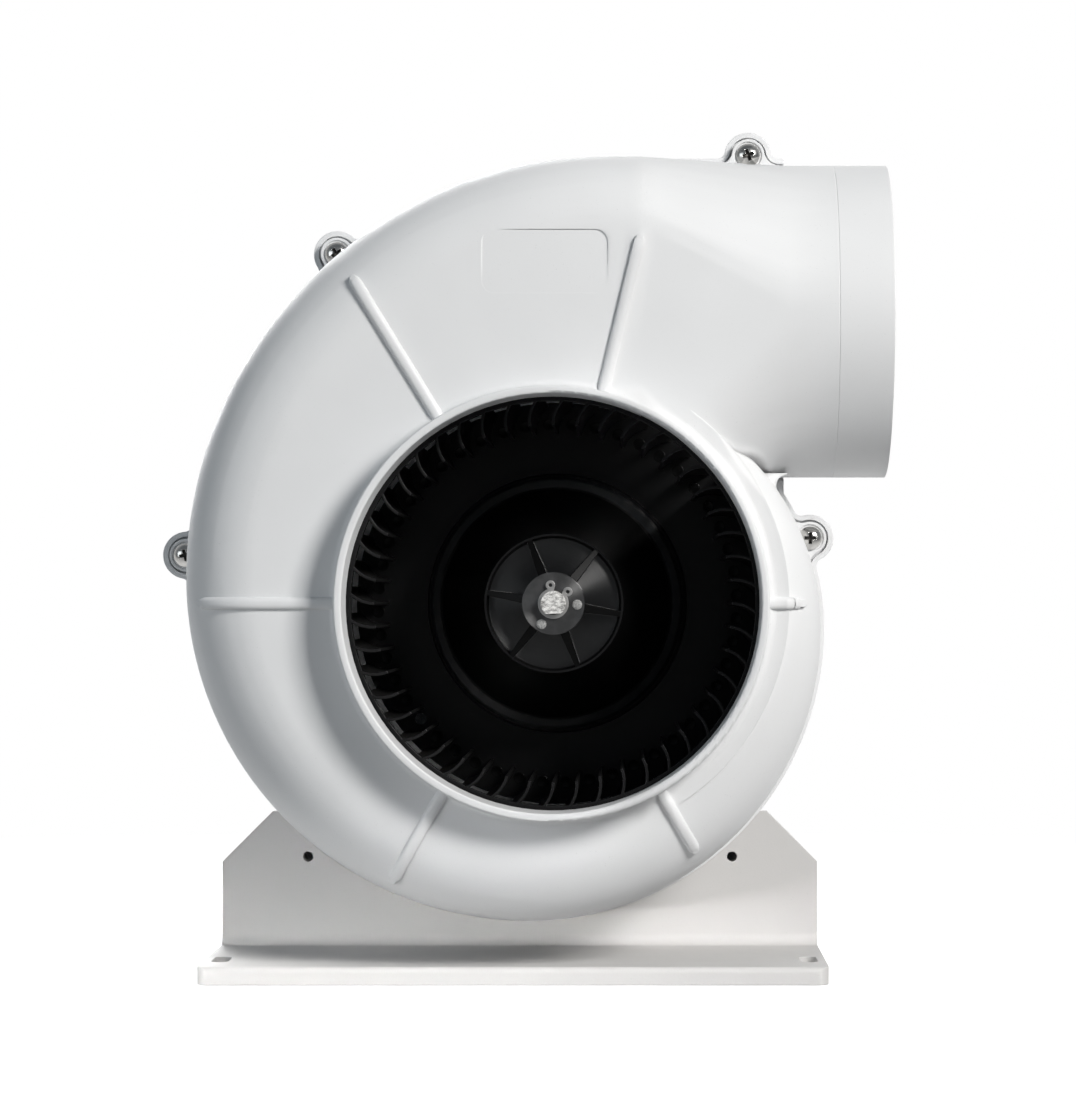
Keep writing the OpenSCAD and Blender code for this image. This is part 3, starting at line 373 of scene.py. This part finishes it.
def plastic(name, colour, rough, grain, depth, edge, speck=0.0, tint=0.04, specular=0.5,
            surface=None):
    """Moulded plastic: uneven tint, fine grain, dull patches, soft edges and tiny dark specks."""
    s = surface or Surface(name)
    base = s.ramp(s.noise(14, 3), 0.35, 0.65, shade(colour, 1 - tint), colour)
    if speck:
        mask = s.ramp(s.noise(2400, 1), 0.72, 0.78, 0.0, speck)
        base = s.blend(mask, base, shade(colour, 0.45))
    s.feed("Base Color", base)
    s.feed("Roughness", s.ramp(s.noise(55, 6), 0.3, 0.7, rough - 0.06, rough + 0.08))
    s.feed("Normal", s.bump(s.noise(grain, 2), depth, s.rounded(edge)))
    s.feed("Specular IOR Level", specular)
    return s.mat


def housing_plastic():
    """White plastic, with the lines where the scroll blends into the outlet smoothed away."""
    s = Surface("housing_plastic")
    x, _, z = s.split(s.coords)
    off = s.math("ABSOLUTE", s.math("SUBTRACT", x, BLEND_X))
    away = s.distance(s.math("SUBTRACT", x, THROAT.x), s.math("SUBTRACT", z, THROAT.z))
    edges = [s.ramp(gap, BLEND_HALF_W, 0.0, EDGE_R, BLEND_R) for gap in (off, away)]
    return plastic("housing_plastic", (0.80, 0.805, 0.81), rough=0.46, grain=700, depth=0.012 * MM,
                   edge=s.math("MAXIMUM", *edges), speck=0.25, specular=0.4, surface=s)


def metal(name, colour, rough, stretch, depth, edge, tint=0.12):
    """Metal with drawn or turned marks, uneven tint and softened edges."""
    s = Surface(name)
    s.feed("Base Color", s.ramp(s.noise(60, 5), 0.3, 0.7, shade(colour, 1 - tint), colour))
    marks = s.noise(900, 3, stretch=stretch)
    s.feed("Roughness", s.ramp(marks, 0.25, 0.75, max(0.04, rough - 0.08), rough + 0.1))
    s.feed("Normal", s.bump(marks, depth, s.rounded(edge)))
    s.feed("Metallic", 1.0)
    return s.mat


def wheel_plastic():
    """Black plastic: glossy blades, dull plate, a glossier shoulder painted lighter as a highlight, dark cone and
    turned hub disc.
    """
    s = Surface("impeller_plastic")
    rings, reach = s.turned(1300)
    flat = s.axial(0.93, 0.985)
    boss = s.within(reach, BOSS_R, 0.2 * MM)
    disc = s.product(flat, s.within(reach, HUB_R, MM))
    outer = s.ramp(reach, SHOULDER_R - MM, SHOULDER_R, 0.0, 1.0)
    shoulder = s.product(outer, s.within(reach, SHOULDER_R + SHOULDER_W, MM))

    dull = s.ramp(s.noise(26, 5), 0.35, 0.7, (0.008, 0.008, 0.0084), (0.017, 0.017, 0.0175))
    worn = s.ramp(s.noise(260, 5), 0.4, 0.65, (0.028, 0.028, 0.0285), (0.05, 0.05, 0.051))
    smooth = s.ramp(s.noise(90, 5), 0.35, 0.7, (0.002, 0.002, 0.0021), (0.006, 0.006, 0.0062))
    # The shoulder's lighter colour is a painted highlight
    walls_and_shoulder_highlight = s.blend(shoulder, (0.003, 0.003, 0.0031), (0.028, 0.028, 0.029))
    hub = s.blend(boss, smooth, worn)
    s.feed("Base Color", s.blend(disc, s.blend(flat, walls_and_shoulder_highlight, dull), hub))

    gloss = s.product(s.between(outer, 0.08, 0.9), s.between(flat, 1.0, 0.25))
    gloss = s.math("ADD", gloss, s.product(shoulder, 0.5))
    s.feed("Specular IOR Level", s.math("ADD", gloss, s.product(disc, 0.9)))
    s.feed("Roughness", s.between(shoulder, 0.36, 0.3))
    s.feed("Anisotropic", s.between(disc, 0.0, 0.95))
    s.feed("Anisotropic Rotation", 0.25)
    s.feed("Tangent", s.add("ShaderNodeTangent", direction_type="RADIAL", axis="Y").outputs[0])
    s.feed("Normal", s.bump(rings, 0.05 * MM, s.rounded(0.35 * MM), disc))
    return s.mat


def shaft_metal():
    """Bright ground shaft with a coarser, scratched end face."""
    s = Surface("shaft_steel")
    end = s.axial(0.9, 0.99)
    scratches = s.noise(620, 6, 0.7, stretch=(1, 1, 2.4))
    ground = s.noise(900, 3, stretch=(1, 0.1, 1))
    uneven = s.ramp(ground, 0.3, 0.7, 0.0, 0.08)
    s.feed("Base Color", s.ramp(scratches, 0.36, 0.6, (0.24, 0.236, 0.23), (0.92, 0.91, 0.89)))
    s.feed("Roughness", s.math("ADD", s.between(end, 0.12, 0.55), uneven))
    s.feed("Normal", s.bump(scratches, 0.22 * MM, s.rounded(0.3 * MM), end))
    s.feed("Metallic", 1.0)
    return s.mat


def scar_plastic(name, low, high):
    """Rough broken plastic at a gate or worn mould pin."""
    s = Surface(name)
    grain = s.noise(2200, 4, 0.7)
    s.feed("Base Color", s.ramp(grain, 0.35, 0.65, low, high))
    s.feed("Roughness", 0.7)
    s.feed("Normal", s.bump(grain, 0.12 * MM))
    return s.mat


# Stretch of marks that run in no direction
EVEN = (1, 1, 1)
MATERIALS = {
    "housing_plastic": housing_plastic(),
    "bracket_plastic": plastic("bracket_plastic", (0.64, 0.63, 0.62), rough=0.52, grain=1500,
                               depth=0.03 * MM, edge=EDGE_R, speck=0.2),
    "impeller_plastic": wheel_plastic(),
    "stainless_steel": metal("stainless_steel", (0.62, 0.61, 0.59), rough=0.2, stretch=EVEN,
                             depth=0.004 * MM, edge=0.15 * MM),
    "shaft_steel": shaft_metal(),
    "brass": metal("brass", (0.72, 0.53, 0.24), rough=0.3, stretch=EVEN,
                   depth=0.004 * MM, edge=0.1 * MM),
    "bronze": metal("bronze", (0.50, 0.33, 0.17), rough=0.45, stretch=EVEN,
                    depth=0.01 * MM, edge=0.1 * MM),
    "copper": metal("copper", (0.72, 0.37, 0.20), rough=0.32, stretch=(1, 0.2, 1),
                    depth=0.006 * MM, edge=0.1 * MM),
    "motor_paint": plastic("motor_paint", (0.035, 0.037, 0.04), rough=0.36, grain=500,
                           depth=0.01 * MM, edge=0.4 * MM, tint=0.2),
    "black_plastic": plastic("black_plastic", (0.022, 0.022, 0.023), rough=0.5, grain=1300,
                             depth=0.03 * MM, edge=0.3 * MM, tint=0.25),
    "rubber": plastic("rubber", (0.02, 0.02, 0.02), rough=0.7, grain=900,
                      depth=0.03 * MM, edge=0.3 * MM, tint=0.3),
    "ferrite": plastic("ferrite", (0.12, 0.12, 0.125), rough=0.65, grain=1100,
                       depth=0.04 * MM, edge=0.2 * MM, tint=0.2),
    "carbon": plastic("carbon", (0.05, 0.05, 0.053), rough=0.55, grain=1600,
                      depth=0.03 * MM, edge=0.2 * MM, tint=0.2),
    "lamination_steel": metal("lamination_steel", (0.42, 0.42, 0.43), rough=0.4,
                              stretch=(0.05, 1, 0.05), depth=0.02 * MM, edge=0.1 * MM),
    "nylon": plastic("nylon", (0.78, 0.76, 0.68), rough=0.45, grain=900,
                     depth=0.015 * MM, edge=0.2 * MM),
}

# Materials of single marks and pieces, in slots that they share with others
GATE_SCAR = scar_plastic("gate_scar", (0.16, 0.16, 0.16), (0.48, 0.48, 0.47))
PIN_SCAR = scar_plastic("pin_scar", (0.10, 0.10, 0.10), (0.24, 0.24, 0.24))
# Painted shade: near-black for the shallow pits of the ejector pin marks
PIN_PIT_SHADE = plastic("pin_pit_painted_shade", (0.004, 0.004, 0.004), rough=0.3, grain=900, depth=0.01 * MM,
                  edge=0.05 * MM, tint=0.3, specular=0.2)
# Painted shade: dark steel for the deep faces of the screws' cross recesses
CROSS_RECESS_SHADE = metal("cross_recess_painted_shade", (0.05, 0.048, 0.045), rough=0.4, stretch=EVEN,
                    depth=0.02 * MM, edge=0.05 * MM)
RING_STEEL = metal("ring_steel", (0.46, 0.455, 0.45), rough=0.48, stretch=EVEN,
                   depth=0.01 * MM, edge=0.25 * MM)


def dress(obj, material):
    obj.data.materials.clear()
    obj.data.materials.append(material)


# Pieces

RECORD = frame["record"]
NODE_SLOTS = {row["node"]: row["material_slot"] for row in RECORD["subparts"]}
BODIES = RECORD["behaviour"]["bodies"]
NODE_BODY = {node: body for body, members in BODIES.items() for node in members}


def new_piece(name, mesh, body, slot, material=None):
    """Adds a mesh as a piece of the object on a body."""
    obj = bpy.data.objects.new(name, mesh)
    bpy.context.scene.collection.objects.link(obj)
    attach(obj, body)
    dress(obj, material or MATERIALS[slot])
    return obj


def welded_copy(node):
    """Edit mesh of a node with its doubled vertices joined."""
    bm = bmesh.new()
    bm.from_mesh(frame["nodes"][node].data)
    bmesh.ops.remove_doubles(bm, verts=bm.verts, dist=WELD)
    return bm


def mesh_from(bm, name):
    """Smooth-shaded mesh of a finished edit mesh."""
    bmesh.ops.recalc_face_normals(bm, faces=bm.faces)
    mesh = bpy.data.meshes.new(name)
    bm.to_mesh(mesh)
    bm.free()
    mesh.shade_smooth()
    return mesh


def soften_label(bm):
    """Leaves the label place as a faint outline, as in the photograph."""
    for v in bm.verts:
        on_floor = abs(v.co.y - LABEL_FLOOR) < LABEL_TOUCH
        if on_floor and (v.co - LABEL_MIDDLE).xz.length < LABEL_REACH:
            v.co += FRONT * LABEL_LIFT


def fill_lip_notch(bm):
    """Lets the parting lip run smoothly into the outlet."""
    for v in bm.verts:
        if (v.co.xz - LIP_NOTCH).length < LIP_TOUCH:
            v.co.x = LIP_END_X


def smooth_copy(node):
    """Welded copy of a moulded node, so that its blended walls shade as one surface."""
    bm = welded_copy(node)
    if node == "front_housing":
        soften_label(bm)
    if node == "rear_housing":
        fill_lip_notch(bm)
    mesh = bpy.data.meshes.new(node + "_moulding")
    bm.to_mesh(mesh)
    bm.free()
    if "custom_normal" in mesh.attributes:
        mesh.attributes.remove(mesh.attributes["custom_normal"])
    mesh.shade_smooth()
    mesh.set_sharp_from_angle(angle=math.radians(CREASE))
    obj = new_piece(node + "_moulding", mesh, NODE_BODY[node], NODE_SLOTS[node])
    weighted = obj.modifiers.new("weighted_normals", "WEIGHTED_NORMAL")
    weighted.keep_sharp = True
    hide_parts(node)


class FrontFace:
    """A node's surface as seen along the fan's axis from the front."""

    # Rays start this far ahead of the parting plane
    START = 0.3

    def __init__(self, node):
        mesh = frame["nodes"][node].data
        points = [v.co for v in mesh.vertices]
        self.tree = BVHTree.FromPolygons(points, [p.vertices for p in mesh.polygons])

    def height(self, point):
        """How far the surface stands ahead of the parting plane, or None beside it."""
        hit = self.tree.ray_cast(Vector((point.x, -self.START, point.z)), -FRONT)[0]
        return -hit.y if hit else None

    def place(self, angle, reach):
        """Point on the surface at an angle and a reach from the fan's axis."""
        at = AXIS + radial(angle) * reach
        return Vector((at.x, 0, at.z)) + FRONT * self.height(at)


def ridge_path(face, angle):
    """Middle line of a ridge's foot, from the collar to where the solid bar is no longer proud."""
    out = radial(angle)
    side = radial(angle + 90)
    # The foot is read beside the bar and clear of the collar, and a few steps past the bar's end
    step = 0.5 * MM
    beside = 3.4 * MM
    clear = 71.5 * MM
    proud = 0.3 * MM
    spare = 4
    feet = []
    end = 0
    reach = RIDGE_START
    while not end or len(feet) - end < spare:
        middle = AXIS + out * max(reach, clear)
        heights = [face.height(middle + side * s * beside) for s in (-1, 1)]
        foot = sum(heights) / 2
        feet.append(Vector((AXIS.x, 0, AXIS.z)) + out * reach + FRONT * foot)
        if face.height(middle) - foot > proud:
            end = len(feet)
        reach += step
    return feet[:end]


def ridge_ring(bm, foot, side, up, nose):
    """Cross section of a ridge, which shrinks towards the nose."""
    half_w = RIDGE_HALF_W * max(nose, RIDGE_TIP)
    flat_power, edge_power = RIDGE_POWERS
    ring = []
    for k in range(RIDGE_SIDES + 1):
        u = -1 + 2 * k / RIDGE_SIDES
        crown = (1 - abs(u) ** flat_power) ** edge_power
        rise = crown * RIDGE_H * nose - RIDGE_SINK
        ring.append(bm.verts.new(foot + side * u * half_w + up * rise))
    return ring


def ridge_mesh(face, angle):
    """Rounded moulded ridge that follows the front face and ends in a soft nose."""
    feet = ridge_path(face, angle)
    side = radial(angle + 90)
    bm = bmesh.new()
    rings = []
    length = (feet[-1] - feet[0]).length
    run = 0.0
    for i, foot in enumerate(feet):
        along = (feet[min(i + 1, len(feet) - 1)] - feet[max(i - 1, 0)]).normalized()
        up = side.cross(along)
        if up.dot(FRONT) < 0:
            up = -up
        if i:
            run += (foot - feet[i - 1]).length
        left = max(0.0, length - run)
        nose = 1.0
        if left < RIDGE_NOSE:
            nose = math.sqrt(max(0.0, 1 - (1 - left / RIDGE_NOSE) ** 2))
        rings.append(ridge_ring(bm, foot, side, up, nose))
    for a, b in zip(rings, rings[1:]):
        for k in range(RIDGE_SIDES):
            bm.faces.new((a[k], a[k + 1], b[k + 1], b[k]))
    return mesh_from(bm, f"front_ridge_{int(angle)}")


def add_ridges():
    face = FrontFace("front_housing")
    for angle in RIDGE_ANGLES:
        mesh = ridge_mesh(face, angle)
        new_piece(mesh.name, mesh, "housing", "housing_plastic")


def add_ring(bm, centre, radius, sides):
    """Ring of vertices about an axis along the fan's, or one vertex where the radius is 0."""
    if radius == 0:
        return [bm.verts.new(centre)]
    return [bm.verts.new(centre + radial(360 * k / sides) * radius) for k in range(sides)]


def join_rings(bm, rings):
    """Faces between rings of vertices in a row, of which the last may be one vertex."""
    for a, b in zip(rings, rings[1:]):
        for k in range(len(a)):
            n = (k + 1) % len(a)
            bm.faces.new((a[k], a[n], b[0]) if len(b) == 1 else (a[k], a[n], b[n], b[k]))


def add_turned_patch(bm, centre, profile):
    """Revolves a profile of (radius, rise) points about an axis along the fan's."""
    rings = [add_ring(bm, centre + FRONT * rise, radius, MARK_SIDES) for radius, rise in profile]
    join_rings(bm, rings)


def screw_places(node):
    """Axis, front end and tip of each screw in a node, from left to right."""
    bm = welded_copy(node)
    left = set(bm.verts)
    places = []
    while left:
        heap = [left.pop()]
        points = []
        while heap:
            v = heap.pop()
            points.append(v.co.copy())
            fresh = {e.other_vert(v) for e in v.link_edges} & left
            left -= fresh
            heap += fresh
        xs, ys, zs = zip(*points)
        axis = Vector(((min(xs) + max(xs)) / 2, 0, (min(zs) + max(zs)) / 2))
        places.append((axis, min(ys), max(ys)))
    bm.free()
    return sorted(places, key=lambda place: place[0].x)


def cross_depth(across, up):
    """Depth of a screw's cross recess at a point of its head."""
    side_slope, end_slope = 0.12 * MM, 0.2 * MM
    long, short = max(abs(across), abs(up)), min(abs(across), abs(up))
    wall = min((CROSS_HALF_W - short) / side_slope, (CROSS_REACH - long) / end_slope, 1)
    return CROSS_DEPTH * max(0.0, wall) * (1 - CROSS_TAPER * long / CROSS_REACH)


def add_screw(bm, axis, front, tip, turn):
    """Domed head with a cross recess, whose deep faces are painted dark as shade, on a plain shank."""
    under = front + HEAD_H
    profile = ((SHANK_R, tip), (SHANK_R, under), (HEAD_R, under))
    rings = [add_ring(bm, axis + Vector((0, y, 0)), radius, SCREW_SIDES) for radius, y in profile]
    for i in range(HEAD_STEPS, 0, -1):
        share = i / HEAD_STEPS
        dome = HEAD_EDGE_H + (HEAD_H - HEAD_EDGE_H) * (1 - share ** HEAD_POWER)
        ring = []
        for k in range(SCREW_SIDES):
            angle = 360 * k / SCREW_SIDES
            flat = radial(angle - turn) * share * HEAD_R
            y = under - dome + cross_depth(flat.x, flat.z)
            ring.append(bm.verts.new(axis + radial(angle) * share * HEAD_R + Vector((0, y, 0))))
        rings.append(ring)
    join_rings(bm, rings)
    bm.faces.new(rings[0])
    bm.faces.new(rings[-1])
    # Faces deep in the cross recess take the second material, a dark steel as painted shade
    for face in bm.faces:
        offset = face.calc_center_median() - axis
        flat = Vector((offset.x, offset.z)) @ Matrix.Rotation(math.radians(turn), 2)
        in_shaded_cross = cross_depth(flat.x, flat.y) > CROSS_SHADE_FROM * CROSS_DEPTH
        if in_shaded_cross and offset.xz.length < HEAD_R and offset.y < under:
            face.material_index = 1


def add_screws(node):
    bm = bmesh.new()
    for (axis, front, tip), turn in zip(screw_places(node), SCREW_TURNS):
        add_screw(bm, axis, front, tip, turn)
    mesh = mesh_from(bm, node + "_heads")
    mesh.set_sharp_from_angle(angle=math.radians(SCREW_CREASE))
    # Faces that carry the cross recess's painted shade, kept while the piece's materials are set
    marks = [face.material_index for face in mesh.polygons]
    obj = new_piece(mesh.name, mesh, NODE_BODY[node], NODE_SLOTS[node])
    mesh.materials.append(CROSS_RECESS_SHADE)
    mesh.polygons.foreach_set("material_index", marks)
    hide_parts(node)


def add_mark(name, bm, material):
    """Adds a finished mark as a piece on the wheel."""
    new_piece(name, mesh_from(bm, name), "rotor", "impeller_plastic", material)


def add_pin_marks():
    """Round marks of the mould's ejector pins between the blades, most of them shallow pits painted dark as shade.
    """
    face = FrontFace("impeller")
    rim = [(PIN_R + PIN_RIM, 0), (PIN_R + PIN_RIM / 2, PIN_RISE), (PIN_R, PIN_RISE),
           (PIN_R - PIN_RIM, PIN_FLOOR)]
    shaded_pits, bright = bmesh.new(), bmesh.new()
    for i in range(BLADES):
        centre = face.place(i * 360 / BLADES + PIN_PHASE, PIN_REACH)
        if i == PIN_BRIGHT:
            add_turned_patch(bright, centre, rim + [(PIN_R / 2, PIN_RISE), (0, PIN_RISE)])
        else:
            add_turned_patch(shaded_pits, centre, rim + [(0, PIN_FLOOR)])
    # The pits' near-black colour is painted shade
    add_mark("impeller_pin_pits_painted_shade", shaded_pits, PIN_PIT_SHADE)
    add_mark("impeller_pin_scar", bright, PIN_SCAR)


def add_gate_scars():
    """Broken gate stubs on the boss's face."""
    face = FrontFace("impeller")
    dome = [(GATE_R * across, GATE_RISE * up) for across, up in GATE_DOME]
    bm = bmesh.new()
    for angle in GATE_ANGLES:
        add_turned_patch(bm, face.place(angle, GATE_REACH), dome)
    add_mark("impeller_gate_scars", bm, GATE_SCAR)


def dress_nodes():
    for node, obj in frame["nodes"].items():
        dress(obj, MATERIALS[NODE_SLOTS[node]])
    dress(frame["nodes"]["retaining_ring"], RING_STEEL)


bpy.context.scene.view_settings.view_transform = "Standard"
add_camera()
add_world(light=(0.048, 0.062, 0.076), shown=(1, 1, 1))
add_floor()
add_area_light("key", place=(1.0, -1.06, 0.875), target=(0.02, -0.03, 0.14), size=(0.48, 0.48),
               power=27.5, colour=(1, 0.985, 0.965))
add_area_light("left_fill", place=(-1.0, -0.75, 0.3), target=(0, 0, 0.12), size=(0.7, 0.7),
               power=3.2, colour=(0.9, 0.96, 1))
add_area_light("low_fill", place=(-0.35, -0.35, 0.02), target=(-0.05, 0.05, -0.05),
               size=(0.3, 0.02), power=0.12, colour=(1, 0.99, 0.98), spread=30)
add_area_light("back_fill", place=(-0.5, 1.3, 0.75), target=(0, 0.05, 0.13), size=(0.9, 0.9),
               power=15, colour=(1, 0.99, 0.98))
dress_nodes()
for moulding in ("front_housing", "rear_housing", "base_bracket"):
    smooth_copy(moulding)
add_screws("housing_screws")
add_ridges()
add_pin_marks()
add_gate_scars()
